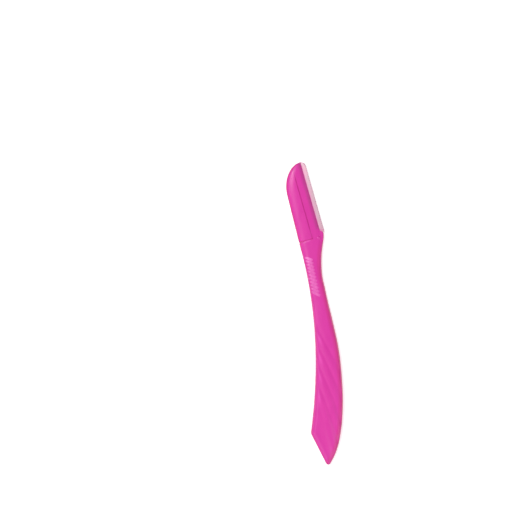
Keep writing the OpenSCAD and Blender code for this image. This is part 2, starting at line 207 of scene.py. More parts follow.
def curve(rows, share):
    """Smooth curve through the rows of a table of shares."""
    share = float(unit(share))
    last = len(rows) - 1

    def slope(i):
        low, high = rows[max(0, i - 1)], rows[min(last, i + 1)]
        return (high[1] - low[1]) / (high[0] - low[0])

    i = max(k for k in range(last) if share >= rows[k][0])
    (from_share, low), (to_share, high) = rows[i], rows[i + 1]
    wide = to_share - from_share
    return hermite(low, high, slope(i) * wide, slope(i + 1) * wide, (share - from_share) / wide)


def spine_x(y):
    return -head_w / 2 - spine_taper * (mid_y - y) / (nose_y - seam_y)


def bow_x(y):
    return spine_x(seam_y) - sweep * (max(0, seam_y - y) / (seam_y - corner_y)) ** 2


def nose_x(y):
    c = float(unit((y - nose_y) / nose_len))
    return edge_x - (edge_x - spine_x(y)) * math.sqrt(1 - c * c)


corner_x = bow_x(corner_y)
corner_soft = tail_len * 0.01
point_x, point_y = corner_x + tail_in, tail_y + tail_r
point_run = tail_len - tail_r
slant = math.atan(tail_in / point_run) - math.asin(tail_r / math.hypot(tail_in, point_run))


def left_x(y):
    """Spine side of the outline: nose, spine, bow, and the slant down to the tail's round point."""
    if y > seam_y:
        return nose_x(y)
    if y < point_y - tail_r * math.sin(slant):
        return point_x - math.sqrt(max(0, tail_r**2 - (y - point_y) ** 2))
    a = bow_x(y)
    b = corner_x + math.tan(slant) * (corner_y - y) if y < corner_y + tail_len else a - tail_len
    return (a + b) / 2 + math.sqrt((a - b) ** 2 / 4 + corner_soft**2)


def flank_x(y):
    """Cutting side of the outline: shoulder, throat, neck and the swell of the grip."""
    bulge = throat_len * 0.08
    below = (seam_y - y + math.sqrt((seam_y - y) ** 2 + bulge**2)) / 2
    shoulder = (shoulder_x - spine_x(seam_y) - neck_w) * (1 - float(unit(below / throat_len))) ** 2
    swell = (handle_w - neck_w) * curve(swell_shares, (swell_y - y) / (swell_y - corner_y))
    return bow_x(y) + neck_w + shoulder + swell


# The tail's cutting side is part straight, part a power curve. It meets the round point at point_steep
# times its mean slope.
tail_straight, point_steep = 0.7, 1.54
point_slope = point_steep * (flank_x(corner_y) - point_x) / (corner_y - point_y)
point_angle = math.atan(point_slope)
flank_end = (point_x + tail_r * math.cos(point_angle), point_y - tail_r * math.sin(point_angle))
tail_run, tail_drop = corner_y - flank_end[1], flank_x(corner_y) - flank_end[0]
tail_bend = (point_slope * tail_run / tail_drop - tail_straight) / (1 - tail_straight)
nose_corner_y = tip_y - shoulder_reach


def right_x(y):
    """Cutting side of the whole outline, from the tip to the tail's round point."""
    if y > nose_corner_y:
        return edge_x + math.sqrt(max(0, shoulder_reach**2 - (y - nose_corner_y) ** 2))
    if y > corner_y:
        return flank_x(y)
    if y > flank_end[1]:
        u = (corner_y - y) / tail_run
        return flank_x(corner_y) - tail_drop * mix(u**tail_bend, u, tail_straight)
    return point_x + math.sqrt(max(0, tail_r**2 - (y - point_y) ** 2))


def flute_phase(x, y, bow):
    """How many flutes down the grip a point lies."""
    return (seam_y - flute_top - y - flute_run * (x - bow) / handle_w) / flute_pitch


def lobe_tip(inward, phase, wide, long):
    """Share of the tips at the upper ends of the lobes, 1 on the crest of each."""
    down = (np.mod(phase, 1) - tip_at) * flute_pitch
    tip = np.exp(-(((inward - tip_in) / wide) ** 2) - (down / long) ** 2)
    return tip * (phase > 0) * (phase < flute_count - 1)


def flute_z(x, y, l, r):
    """Depth of the flutes: soft hollows that slant down from the spine side, between low lobes."""
    f = flute_phase(x, y, bow_x(y))
    across = ease(2 * (x - l) / flute_in - 1) * ease((r - x) / edge_round)
    along = ease((f - flute_from) / flute_fade) * ease((flute_to - f) / flute_fade)
    hollow = flute_depth * np.abs(np.cos(np.pi * f)) ** flute_sharp * across * along
    return hollow - tip_h * lobe_tip(x - l, f, tip_r, tip_long)


def head_top(x):
    """Height of the head's front face, which rolls off towards the cutting side."""
    roll_x = -0.2 * edge_x
    return head_t - (head_t - strip_t) * unit((x - roll_x) / (edge_x - roll_x)) ** 2


def nose_dist(x, y):
    """Distance in from the outline on the head: first order on the nose, straight across below it."""
    wide = edge_x - spine_x(y)
    u, v = (edge_x - x) / wide, max(0, (y - nose_y) / nose_len)
    rho = np.maximum(np.hypot(u, v), fit_gap / wide)
    return (1 - rho) * rho / np.maximum(np.hypot(u / wide, v / nose_len), 1e-9)


def arch(d, r):
    """A quarter of a round, from 0 at the edge to 1 at a distance r in from it."""
    return np.sqrt(1 - (1 - unit(d / r)) ** 2)


def lean(outline, y):
    """How much longer a side of the outline is than the height that it climbs at y."""
    return math.sqrt(1 + ((outline(y + slope_step) - outline(y - slope_step)) / (2 * slope_step)) ** 2)


# Height of the widest line and crown of the grip as shares of the thickness, and the limits of the
# rounding as shares of the width
head_side, grip_side, grip_crown, head_edge = 0.42, 0.4, 0.1, 0.5
front_limit, back_limit = 0.48, 0.3
# The spine is rounded off more towards the nose, and the grip's spine side more from soft_from down
spine_soft, nose_softer, grip_softer, soft_from, soft_run = 1.15, 0.5, 0.5, 45, 30
# Steps of a ring over the front, round each corner and along the back
ring_front, ring_corner, ring_back = 96, 6, 8


def form_ring(y, inset=0.0):
    """One ring of the razor's outline at a height y, drawn in by inset on every side. It runs over the
    front to the right, round the corner below, along the flat back and round the other corner."""
    l, r = left_x(y), right_x(y)
    w = r - l
    grip = float(ease((seam_y - y) / throat_len))
    thick = handle_t * curve(thick_shares, (seam_y - y) / handle_len)
    q = (1 - np.cos(np.pi * np.arange(ring_front + 1) / ring_front)) / 2
    x = mix(l, r, q)
    in_left = nose_dist(x, y) if y > seam_y else (x - l) / lean(left_x, y)
    in_right = (r - x) / lean(right_x, y)
    over_window = float(ease((y - window_y) / strip_round))
    strip_edge = strip_drop * (1 - arch(edge_x - x, strip_round)) * over_window
    grip_top = thick * (1 - grip_crown * (2 * q - 1) ** 2) - flute_z(x, y, l, r)
    top = mix(head_top(x) - strip_edge, grip_top, grip)
    side = mix(head_t * head_side, thick * grip_side, grip)
    soft_spine = spine_soft + nose_softer * float(unit((y - mid_y) / (tip_y - mid_y)))
    soft_grip = 1 + grip_softer * float(ease((seam_y - y - soft_from) / soft_run))
    round_l = min(mix(spine_round * soft_spine, edge_round * soft_grip, grip), w * front_limit)
    round_r = min(mix(edge_round * head_edge, edge_round, grip), w * front_limit)
    z = side + (top - side) * arch(in_left, round_l) * arch(in_right, round_r)
    face = np.stack([mix(l + inset, r - inset, q), np.full_like(q, y), z - inset], 1)
    round_b = min(back_round, w * back_limit)
    a = np.radians(90 * np.arange(ring_corner + 1) / ring_corner)
    low_z = inset + round_b * (1 - np.sin(a))
    low_r = np.stack([r - inset - round_b * (1 - np.cos(a)), np.full_like(a, y), low_z], 1)
    low_l = np.stack([l + inset + round_b * (1 - np.cos(a)), np.full_like(a, y), low_z], 1)[::-1]
    s = (1 - np.cos(np.pi * np.arange(1, ring_back) / ring_back)) / 2
    flat = np.stack([mix(low_r[-1, 0], low_l[0, 0], s), np.full_like(s, y), np.full_like(s, inset)], 1)
    return np.concatenate([face, low_r, flat, low_l])


def loft(name, rings):
    """A closed solid through rings of points, which run clockwise as seen along the way."""
    n, last = len(rings[0]), len(rings) - 1
    faces = [tuple(reversed(range(n))), tuple(last * n + i for i in range(n))]
    faces += [
        (k * n + i, k * n + (i + 1) % n, (k + 1) * n + (i + 1) % n, (k + 1) * n + i)
        for k in range(last)
        for i in range(n)
    ]
    mesh = bpy.data.meshes.new(name)
    mesh.from_pydata([tuple(point) for point in np.concatenate(rings) * MM], [], faces)
    made = bpy.data.objects.new(name, mesh)
    scene.collection.objects.link(made)
    return made


def prism(name, outline, low, high):
    """An outline, anticlockwise from above, raised from low to high."""
    return loft(name, [np.array([(x, y, z) for x, y in outline]) for z in (low, high)])


def block(name, low, high):
    return prism(name, [low[:2], (high[0], low[1]), high[:2], (low[0], high[1])], low[2], high[2])


def turned(name, x, y, profile, steps=64):
    """A round piece on an upright axis, from a profile of radii and heights."""
    a = np.arange(steps) * 2 * np.pi / steps
    rings = [np.stack([x + r * np.cos(a), y + r * np.sin(a), np.full(steps, z)], 1) for r, z in profile]
    return loft(name, rings)


def plain(piece):
    """Turns a piece and its modifiers into a plain mesh."""
    bpy.context.view_layer.update()
    old = piece.data
    worked = piece.evaluated_get(bpy.context.evaluated_depsgraph_get())
    piece.data = bpy.data.meshes.new_from_object(worked)
    piece.modifiers.clear()
    bpy.data.meshes.remove(old)


def work(target, tool, operation):
    """Joins a tool to the target or cuts it out, and clears the tool away."""
    step = target.modifiers.new(operation, "BOOLEAN")
    step.object = tool
    step.operation = operation
    step.solver = "MANIFOLD"
    plain(target)
    bpy.data.objects.remove(tool)


def smooth(piece):
    """Smooth shading, with every edge sharper than 30 degrees kept crisp."""
    piece.data.name = piece.name
    piece.data.shade_smooth()
    piece.data.set_sharp_from_angle(angle=math.radians(30))


# How far cutting tools reach past the piece
over = 1
bevel_y = seam_y - shoulder_fall
tongue_z = plate_t + fit_gap
tongue_side = spine_wall + fit_gap
blade_mid_y = tip_y - blade_inset - blade_len / 2
outer_x = cut_x + fit_gap + guard_t
peg_x = (seam_x + fit_gap + blade_gap + outer_x - guard_leg) / 2
# Depth of the long seam's groove at its heights, as a share: it nearly closes above the lip's corner
groove_rows = ((0, 1), (1.2, 0.9), (2, 0.3), (4, 0.3), (5, 1), (head_len + over, 1))


def seam_groove():
    """V groove along the long seam, half in the front strip and half in the cover's lip."""
    z, h = float(head_top(seam_x)), seam_bevel / math.sqrt(2)
    rings = []
    for up, deep in groove_rows:
        corners = [(-h * deep, 0), (0, h * deep), (h * deep, 0), (0, -h * deep)]
        rings.append(np.array([(seam_x + dx, seam_y + up, z + dz) for dx, dz in corners]))
    return loft("Groove", rings)


def tongue(grow):
    """The tongue under the cover's lip, made larger by grow on every side."""
    wide = edge_x - spine_x(nose_y) - tongue_side + grow
    long = nose_len - tongue_side + grow
    end_x = seam_x + over
    outline = [(edge_x - wide, seam_y - over), (end_x, seam_y - over)]
    for a in np.linspace(math.acos((edge_x - end_x) / wide), 0, 25):
        outline.append((edge_x - wide * math.cos(a), nose_y + long * math.sin(a)))
    return prism("Tongue", outline, tongue_z - grow, tongue_z + tongue_t + grow)


def catch_ridge(grow, steps=48):
    """Low oval ridge across the tongue that the cover snaps over."""
    middle = (seam_x + spine_x(nose_y) + tongue_side) / 2
    half = catch_len / 2 + grow
    a = np.arange(steps) * 2 * np.pi / steps
    y = seam_y + catch_up - (catch_h * 2 + grow) * np.sin(a)
    z = tongue_z + tongue_t + (catch_h + grow) * np.cos(a)
    return loft("Ridge", [np.stack([np.full(steps, middle + side * half), y, z], 1) for side in (-1, 1)])


def window(from_x):
    """Where the blade shows, from a line at from_x outwards, with a slanted lower end."""
    end_x = shoulder_x + over
    outline = [(from_x, window_y + edge_x - from_x), (end_x, window_y + edge_x - end_x)]
    outline += [(end_x, tip_y + over), (from_x, tip_y + over)]
    return prism("Window", outline, -over, head_t + over)


# Heights of the rings, close together where the outline turns fast
tail_ys = [tail_y + tail_r * (1 - math.cos(math.radians(a))) for a in np.linspace(12, 84, 20)]
tail_ys += list(np.linspace(point_y, corner_y, 56)[:-1])
bow_ys = list(np.linspace(corner_y, bevel_y, 320))
bevel_ys = list(np.linspace(bevel_y, seam_y, 7))
head_ys = list(np.linspace(seam_y, nose_y, 60)[1:-1])
nose_ys = [nose_y + nose_len * math.sin(math.radians(a)) for a in np.linspace(0, 88, 50)]
handle = loft("Handle", [form_ring(y) for y in tail_ys + bow_ys + bevel_ys[1:] + head_ys + nose_ys])

# Room for the cover: all that lies left of the seam or under the front strip, above a curved bevel
room = block("Room", (-head_w, bevel_y, -over), (seam_x + fit_gap, tip_y + over, head_t + over))
under_strip = block("Low", (-head_w, bevel_y, -over), (head_w + shoulder_x, tip_y + over, strip_z))
work(room, under_strip, "UNION")
fall_bend = 1.25
fall = [form_ring(y, shoulder_drop * ((y - bevel_y) / shoulder_fall) ** fall_bend) for y in bevel_ys]
work(room, loft("Shoulder", fall), "DIFFERENCE")
work(handle, room, "DIFFERENCE")
work(handle, window(edge_x), "DIFFERENCE")
work(handle, seam_groove(), "DIFFERENCE")

# The tongue with its catch, and the pegs that the blade hangs on
key = tongue(0)
work(key, block("Clear", (seam_x + fit_gap, seam_y, -over), (head_w, tip_y, strip_z)), "DIFFERENCE")
work(handle, key, "UNION")
work(handle, catch_ridge(0), "UNION")
peg_low, peg_top = plate_t - peg_reach + fit_gap, (strip_z + strip_t) / 2
peg = [(peg_r - peg_chamfer, peg_low), (peg_r, peg_low + peg_chamfer), (peg_r, peg_top)]
for side in (-1, 1):
    work(handle, turned("Peg", peg_x, blade_mid_y + side * peg_gap / 2, peg), "UNION")

# The pip is the top of a ball that is sunk into the front strip
pip_x, ball_r = edge_x - pip_in, (pip_r**2 + pip_h**2) / (2 * pip_h)
ball_z = float(head_top(pip_x)) + pip_h - ball_r
dome = [(ball_r * math.cos(a), ball_z + ball_r * math.sin(a)) for a in np.linspace(0.2, 1.52, 24)]
work(handle, turned("Pip", pip_x, seam_y - pip_h, dome), "UNION")


def mark(piece, name, values):
    """Stores a number at each point of a piece, for its material."""
    piece.data.attributes.new(name, "FLOAT", "POINT").data.foreach_set("value", values)


# The points are held inside the CAD model's box. Each is marked with its distance in from the right edge,
# and with its share of painted highlight: on the lobes' tips and on the bevel under the cover.
glint_in, glint_wide, glint_long = 0.2, 0.85, 1.7
bevel_glint, bevel_glint_at, bevel_glint_size = 1.1, (-1.4, 4.7), (1.3, 0.4)
points = np.empty(3 * len(handle.data.vertices))
handle.data.vertices.foreach_get("co", points)
inside = np.clip(points.reshape(-1, 3), cad_box[0], cad_box[1])
handle.data.vertices.foreach_set("co", inside.ravel())
x, y, z = (inside / MM).T
heights, ring_of = np.unique(y, return_inverse=True)
right = np.array([right_x(h) for h in heights])[ring_of]
right_lean = np.array([lean(right_x, h) for h in heights])[ring_of]
bow = np.array([bow_x(h) for h in heights])[ring_of]
glint = lobe_tip(x - bow - glint_in, flute_phase(x, y, bow), glint_wide, glint_long)
across, up = ((v - at) / size for v, at, size in zip((x, y), bevel_glint_at, bevel_glint_size))
glint += bevel_glint * np.exp(-(across**2) - up**2)
glint *= z > head_t / 2
mark(handle, "from_right", (right - x) / right_lean)
mark(handle, "glint", glint)
smooth(handle)


# The material is written as arithmetic on the sockets of its nodes
class Wire:
    """A socket of a material. Arithmetic on it adds Math nodes, and node() adds any other node."""

    def __init__(self, tree, socket=None):
        self.tree, self.socket = tree, socket

    def node(self, kind, settings=(), sockets=(), out=0):
        made = self.tree.nodes.new(kind)
        for name, value in dict(settings).items():
            setattr(made, name, value)
        for key, value in dict(sockets).items():
            end = next(s for s in made.inputs if key in (s.identifier, s.name))
            if isinstance(value, Wire):
                self.tree.links.new(value.socket, end)
            else:
                end.default_value = value
        return Wire(self.tree, made.outputs[out])

    def math(self, operation, *values):
        sockets = zip(("Value", "Value_001"), values)
        return self.node("ShaderNodeMath", {"operation": operation}, sockets)

    def __add__(self, other):
        return self.math("ADD", self, other)

    def __radd__(self, other):
        return self.math("ADD", other, self)

    def __sub__(self, other):
        return self.math("SUBTRACT", self, other)

    def __rsub__(self, other):
        return self.math("SUBTRACT", other, self)

    def __mul__(self, other):
        return self.math("MULTIPLY", self, other)

    def __rmul__(self, other):
        return self.math("MULTIPLY", other, self)


def noise(wire, place, size, detail=2.0, stretch=(1, 1, 1), twist=0.0):
    """Noise with grains of a size in metres, drawn out along an axis by stretch."""
    scale = tuple(1 / (size * s) for s in stretch)
    spread = wire.node("ShaderNodeMapping", {"vector_type": "POINT"}, {"Vector": place, "Scale": scale})
    return wire.node(
        "ShaderNodeTexNoise", {}, {"Vector": spread, "Scale": 1.0, "Detail": detail, "Distortion": twist}
    )


def band(wire, value, low, high):
    """0 below low, 1 above high, and a smooth rise between."""
    return wire.node(
        "ShaderNodeMapRange",
        {"interpolation_type": "SMOOTHSTEP"},
        {"Value": value, "From Min": low, "From Max": high},
    )


def blend(wire, share, a, b):
    """Mix of two colours by a share."""
    return wire.node(
        "ShaderNodeMix",
        {"data_type": "RGBA"},
        {"Factor_Float": share, "A_Color": a, "B_Color": b},
        out=2,
    )


def part(wire, vector, axis):
    """One part of a vector: 0 is x, 1 is y and 2 is z."""
    return wire.node("ShaderNodeSeparateXYZ", {}, {"Vector": vector}, out=axis)


def marked(wire, name):
    """The number that is stored under a name at each point."""
    return wire.node("ShaderNodeAttribute", {"attribute_name": name}, out=2)


def relief(wire, height):
    """Normal from a height in millimetres."""
    return wire.node("ShaderNodeBump", {}, {"Strength": 1.0, "Distance": MM, "Height": height})


def surface(name, recipe, **fixed):
    """A material whose recipe gives the sockets that vary, and whose fixed sockets hold for all of it."""
    made = bpy.data.materials.new(name)
    made.use_nodes = True
    tree = made.node_tree
    shader = tree.nodes["Principled BSDF"]
    wire = Wire(tree)
    place = wire.node("ShaderNodeTexCoord", out=3)
    for socket, value in recipe(wire, place).items():
        tree.links.new(value.socket, shader.inputs[socket])
    for socket, value in fixed.items():
        shader.inputs[socket].default_value = value
    return made


def coat(piece, material):
    """Gives all of a piece one material."""
    piece.data.materials.clear()
    piece.data.materials.append(material)
    piece.data.polygons.foreach_set("material_index", [0] * len(piece.data.polygons))


# Where the strip thins out to a lip over the steel, which is given painted shade
lip_from, lip_full, rim_w = edge_x - 2.2, edge_x - 0.8, 0.6
deep_pink, light_pink = (0.62, 0.023, 0.32, 1), (0.66, 0.03, 0.34, 1)
# Painted light: crimson is painted shade at the rounded and right edges, plum is painted shade on the lip
# over the steel, and the pale pink is a painted highlight
crimson, plum, highlight_pink = (0.52, 0.016, 0.11, 1), (0.47, 0.035, 0.24, 1), (0.86, 0.1, 0.54, 1)


def satin_moulding(wire, place):
    """Satin moulded plastic with a fine grain. The pigment is drawn out along the flow. Painted shade
    makes it crimson at the rounded edges and along the right one, and plum on the lip over the steel; a
    painted highlight makes it pale on the lobes' tips and on the bevel under the cover."""
    x, y, z = (part(wire, place, axis) for axis in range(3))
    normal = wire.node("ShaderNodeTexCoord", out=1)
    tilt, steep = part(wire, normal, 0), 1 - part(wire, normal, 2)
    flow = noise(wire, place, 0.007, 3, (1, 4, 1), 1.5)
    mottle = noise(wire, place, 0.0016, 3)
    pits = noise(wire, place, 0.00016, 2)
    hairs = noise(wire, place, 0.0004, 2, (1, 26, 1), 0.6)
    scuff = band(wire, hairs, 0.66, 0.74)
    colour = blend(wire, band(wire, flow, 0.3, 0.7), deep_pink, light_pink)

    # Painted shade: crimson along the right edge of the neck and grip, and on the rounded edges all
    # round, less on the spine side below the head
    below_head = 1 - band(wire, y, -2 * MM, seam_y * MM)
    inward = marked(wire, "from_right")
    right_edge_shade = band(wire, inward, 0.5, 1) * (1 - band(wire, inward, 1.3, 3))
    colour = blend(wire, 0.37 * below_head * right_edge_shade, colour, crimson)
    rounded = band(wire, steep, 0.04, 0.65) * (1 - band(wire, steep, 1, 1.6))
    spine_side = below_head * (1 - band(wire, tilt, -0.4, 0.4))
    colour = blend(wire, rounded * (0.9 - 0.45 * spine_side), colour, crimson)
    # Painted highlight: pale on the lobes' tips and on the bevel under the cover
    colour = blend(wire, 0.42 * marked(wire, "glint"), colour, highlight_pink)

    # Painted shade: plum on the thin lip over the steel, less of it at the lip's very edge
    lip_shade = band(wire, x, lip_from * MM, lip_full * MM)
    lip_shade *= band(wire, y, window_y * MM, (window_y + strip_round) * MM)
    lip_shade *= band(wire, z, strip_z * MM, (strip_z + 0.2) * MM)
    lip_shade *= 1 - 0.6 * band(wire, x, (edge_x - rim_w) * MM, edge_x * MM)
    colour = blend(wire, 0.85 * lip_shade, colour, plum)

    rough = 0.3 + 0.1 * mottle + 0.05 * pits + 0.06 * scuff
    height = 0.0035 * pits + 0.012 * mottle - 0.0012 * scuff
    return {"Base Color": colour, "Roughness": rough, "Normal": relief(wire, height)}


magenta = surface("SatinMagenta", satin_moulding, IOR=1.49)
coat(handle, magenta)

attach(handle, "root")
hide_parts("handle")

# Thumb ribs
# A patch of fine slanted ribs, screen-printed on the neck in thick pale ink, gives the thumb a grip.
# The ribs follow the rounded face of the neck, touch at their feet and thin out at both ends.
rib_count, rib_points, rib_pitch, rib_long, rib_angle = 11, 17, 1.7, 4.1, -40
rib_first, rib_drift, rib_belly, rib_growth, rib_turn = (-5.05, -2.6), -0.155, 0.1, 0.2, -4
rib_wide, rib_high, rib_sunk, rib_fade_in, rib_fade_out = 0.7, 0.1, 0.025, 0.06, 0.35
# Height that the lines are dropped from, and share of the full cross-section left at a rib's ends
drop_z, rib_end = 10, 0.2


class Graph:
    """A Geometry Nodes tree under construction. It takes sockets of earlier nodes or plain values."""

    def __init__(self, name, inputs):
        self.tree = bpy.data.node_groups.new(name, "GeometryNodeTree")
        face = self.tree.interface
        face.new_socket("Geometry", in_out="OUTPUT", socket_type="NodeSocketGeometry")
        self.ids = {}
        for label, kind in inputs.items():
            self.ids[label] = face.new_socket(label, in_out="INPUT", socket_type=kind).identifier
        self.start = self.tree.nodes.new("NodeGroupInput")
        self.end = self.tree.nodes.new("NodeGroupOutput")

    def given(self, label):
        return self.start.outputs[label]

    def add(self, kind, settings=(), sockets=(), out=0):
        made = self.tree.nodes.new(kind)
        for name, value in dict(settings).items():
            setattr(made, name, value)
        for key, value in dict(sockets).items():
            end = next(s for s in made.inputs if key in (s.identifier, s.name) and s.enabled)
            for item in value if isinstance(value, list) else [value]:
                if isinstance(item, bpy.types.NodeSocket):
                    self.tree.links.new(item, end)
                else:
                    end.default_value = item
        return made.outputs[out]

    def math(self, operation, *values):
        sockets = dict(zip(("Value", "Value_001"), values))
        return self.add("ShaderNodeMath", {"operation": operation}, sockets)

    def made(self, name, values, result):
        """An object whose modifier runs the tree with the given values."""
        self.tree.links.new(result, self.end.inputs[0])
        made = bpy.data.objects.new(name, bpy.data.meshes.new(name))
        scene.collection.objects.link(made)
        step = made.modifiers.new(name, "NODES")
        step.node_group = self.tree
        for label, value in values.items():
            step[self.ids[label]] = value
        return made


def printed_ink(wire, place):
    """Thick pale ink, densest in the first ribs and thinner towards the ends of each rib."""
    cloud = noise(wire, place, 0.0009, 3)
    pits = noise(wire, place, 0.00008, 2)
    colour = blend(wire, band(wire, cloud, 0.35, 0.65), (0.67, 0.087, 0.4, 1), (0.735, 0.11, 0.45, 1))
    first_ribs = band(wire, part(wire, place, 1), -7.5 * MM, -3 * MM)
    colour = blend(wire, first_ribs, colour, (0.79, 0.145, 0.52, 1))
    along = marked(wire, "along")
    thin = 0.5 * band(wire, along, 0.7, 1) + 0.7 * (1 - band(wire, along, 0, 0.35))
    colour = blend(wire, thin, colour, (0.64, 0.026, 0.33, 1))
    return {"Base Color": colour, "Roughness": 0.34 + 0.14 * pits, "Normal": relief(wire, 0.004 * pits)}


ribs_tree = Graph(
    "ThumbRibs",
    {
        "Handle": "NodeSocketObject",
        "Ribs": "NodeSocketInt",
        "Points": "NodeSocketInt",
        "First": "NodeSocketVector",
        "Pitch": "NodeSocketVector",
        "Belly": "NodeSocketFloat",
        "Step": "NodeSocketVector",
        "Growth": "NodeSocketFloat",
        "Turn": "NodeSocketFloat",
        "Half width": "NodeSocketFloat",
        "Flatness": "NodeSocketVector",
        "Sunk": "NodeSocketFloat",
        "Fade in": "NodeSocketFloat",
        "Fade out": "NodeSocketFloat",
        "Ink": "NodeSocketMaterial",
    },
)
given, add, maths = ribs_tree.given, ribs_tree.add, ribs_tree.math

# One line of points, set in rows down the neck: each row turned, lengthened and shifted a little more
one = add("GeometryNodeMeshLine", {"mode": "OFFSET"}, {"Count": given("Points"), "Offset": given("Step")})
rows = add(
    "GeometryNodeMeshLine",
    {"mode": "OFFSET"},
    {"Count": given("Ribs"), "Start Location": given("First"), "Offset": given("Pitch")},
)
down_patch = maths("DIVIDE", add("GeometryNodeInputIndex"), maths("SUBTRACT", given("Ribs"), 1.0))
belly = maths("MULTIPLY", maths("MULTIPLY", down_patch, maths("SUBTRACT", 1.0, down_patch)), 4.0)
belly = add("ShaderNodeCombineXYZ", {}, {"X": maths("MULTIPLY", belly, given("Belly"))})
rows = add("GeometryNodeSetPosition", {}, {"Geometry": rows, "Offset": belly})
turn = add("ShaderNodeCombineXYZ", {}, {"Z": maths("MULTIPLY", down_patch, given("Turn"))})
longer = maths("ADD", 1.0, maths("MULTIPLY", maths("POWER", down_patch, 3.0), given("Growth")))
placing = {"Points": rows, "Instance": one, "Rotation": turn, "Scale": longer}
lines = add("GeometryNodeInstanceOnPoints", {}, placing)
lines = add("GeometryNodeRealizeInstances", {}, {"Geometry": lines})

# The lines are dropped on the handle and sunk a little
skin = add("GeometryNodeObjectInfo", {}, {"Object": given("Handle")}, out="Geometry")
here = add("GeometryNodeInputPosition")
ray = {"Target Geometry": skin, "Source Position": here, "Ray Direction": (0, 0, -1)}
hit = add("GeometryNodeRaycast", {}, {**ray, "Ray Length": 2 * drop_z * MM}, out="Hit Position")
sink = add("ShaderNodeCombineXYZ", {}, {"Z": maths("MULTIPLY", given("Sunk"), -1.0)})
lines = add("GeometryNodeSetPosition", {}, {"Geometry": lines, "Position": hit, "Offset": sink})

# Each line becomes a flat tube that thins out at its ends
wires = add("GeometryNodeMeshToCurve", {}, {"Mesh": lines})
wires = add("GeometryNodeSetCurveNormal", {"mode": "Z_UP"}, {"Curve": wires})
share = add("GeometryNodeSplineParameter", out="Factor")
rise = maths("DIVIDE", share, given("Fade in"))
fall_off = maths("DIVIDE", maths("SUBTRACT", 1.0, share), given("Fade out"))
full = maths("MINIMUM", maths("MINIMUM", rise, fall_off), 1.0)
taper = maths("POWER", maths("ADD", rib_end, maths("MULTIPLY", full, 1 - rib_end)), 0.5)
wires = add("GeometryNodeSetCurveRadius", {}, {"Curve": wires, "Radius": taper})
wires = add("GeometryNodeStoreNamedAttribute", {}, {"Geometry": wires, "Name": "along", "Value": share})
circle = {"Resolution": 16, "Radius": given("Half width")}
ring = add("GeometryNodeCurvePrimitiveCircle", {"mode": "RADIUS"}, circle)
ring = add("GeometryNodeTransform", {}, {"Geometry": ring, "Scale": given("Flatness")})
tubes = add("GeometryNodeCurveToMesh", {}, {"Curve": wires, "Profile Curve": ring, "Fill Caps": True})
tubes = add("GeometryNodeRealizeInstances", {}, {"Geometry": tubes})
tubes = add("GeometryNodeSetMaterial", {}, {"Geometry": tubes, "Material": given("Ink")})

rib_step = rib_long * MM / (rib_points - 1)
slant_down = math.radians(rib_angle)
ribs = ribs_tree.made(
    "ThumbRibs",
    {
        "Handle": handle,
        "Ribs": rib_count,
        "Points": rib_points,
        "First": (rib_first[0] * MM, rib_first[1] * MM, drop_z * MM),
        "Pitch": (rib_drift * MM, -rib_pitch * MM, 0),
        "Belly": rib_belly * MM,
        "Step": (rib_step * math.cos(slant_down), rib_step * math.sin(slant_down), 0),
        "Growth": rib_growth,
        "Turn": math.radians(rib_turn),
        "Half width": rib_wide * MM,
        "Flatness": (1, rib_high / rib_wide, 1),
        "Sunk": rib_sunk * MM,
        "Fade in": rib_fade_in,
        "Fade out": rib_fade_out,
        "Ink": surface("PrintedInk", printed_ink, IOR=1.5),
    },
    tubes,
)
plain(ribs)
smooth(ribs)

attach(ribs, "root")

# Head cover
# A second moulding in the same plastic: a back plate under the blade, a rounded spine and a lip that
# meets the front strip at the long seam. It slides over the tongue from the tip and snaps on a ridge.
plate_reach = 1.3
foot_y = seam_y + fit_gap
foot = [form_ring(foot_y, seam_bevel), form_ring(foot_y + seam_bevel)]
cover = loft("HeadCover", foot + [form_ring(y) for y in head_ys[1:] + nose_ys])
strip_low = (seam_x - fit_gap, seam_y - over, plate_t)
strip_high = (2 * head_w, tip_y + over, head_t + over)
work(cover, block("StripRoom", strip_low, strip_high), "DIFFERENCE")
work(cover, tongue(fit_gap), "DIFFERENCE")
work(cover, catch_ridge(fit_gap), "DIFFERENCE")

# A blind lane in the plate lets the ends of the pegs slide in from below
lane = peg_r + fit_gap
lane_end = blade_mid_y + peg_gap / 2 + 2 * peg_r
lane_low = (peg_x - lane, seam_y - over, plate_t - peg_reach)
lane_high = (peg_x + lane, lane_end, head_t)
work(cover, block("Lane", lane_low, lane_high), "DIFFERENCE")
work(cover, window(edge_x + plate_reach), "DIFFERENCE")
work(cover, seam_groove(), "DIFFERENCE")
smooth(cover)
coat(cover, magenta)

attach(cover, "root")
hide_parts("head_cover")

# Blade
# A strip of hardened stainless steel, 36 mm of ground edge, held on two pegs between the back plate
# and the front strip. Its flats are rolled along the strip, and its bevels are ground across the edge.
bevel_w, bevel_line = 0.75, 0.02


def ground_steel(wire, place):
    """Fine lines along the flats and across the bevels, under a faint cloudiness."""
    rolled = noise(wire, place, 0.00005, 2, (1, 90, 1))
    ground = noise(wire, place, 0.00004, 2, (40, 1, 1))
    cloud = noise(wire, place, 0.004, 3)
    bevel_x = cut_x - bevel_w
    bevel = band(wire, part(wire, place, 0), (bevel_x - bevel_line) * MM, (bevel_x + bevel_line) * MM)
    lines = bevel * ground + (1 - bevel) * rolled
    # The pink in these colours is a painted reflection of the magenta moulding around the steel
    colour = blend(wire, 0.7 * lines + 0.3 * cloud, (0.78, 0.5, 0.6, 1), (0.94, 0.62, 0.74, 1))
    rough = 0.36 + 0.14 * lines + 0.06 * cloud
    return {"Base Color": colour, "Roughness": rough, "Normal": relief(wire, 0.002 * lines)}


blade = frame["nodes"]["blade"]
coat(blade, surface("GroundSteel", ground_steel, Metallic=1.0))

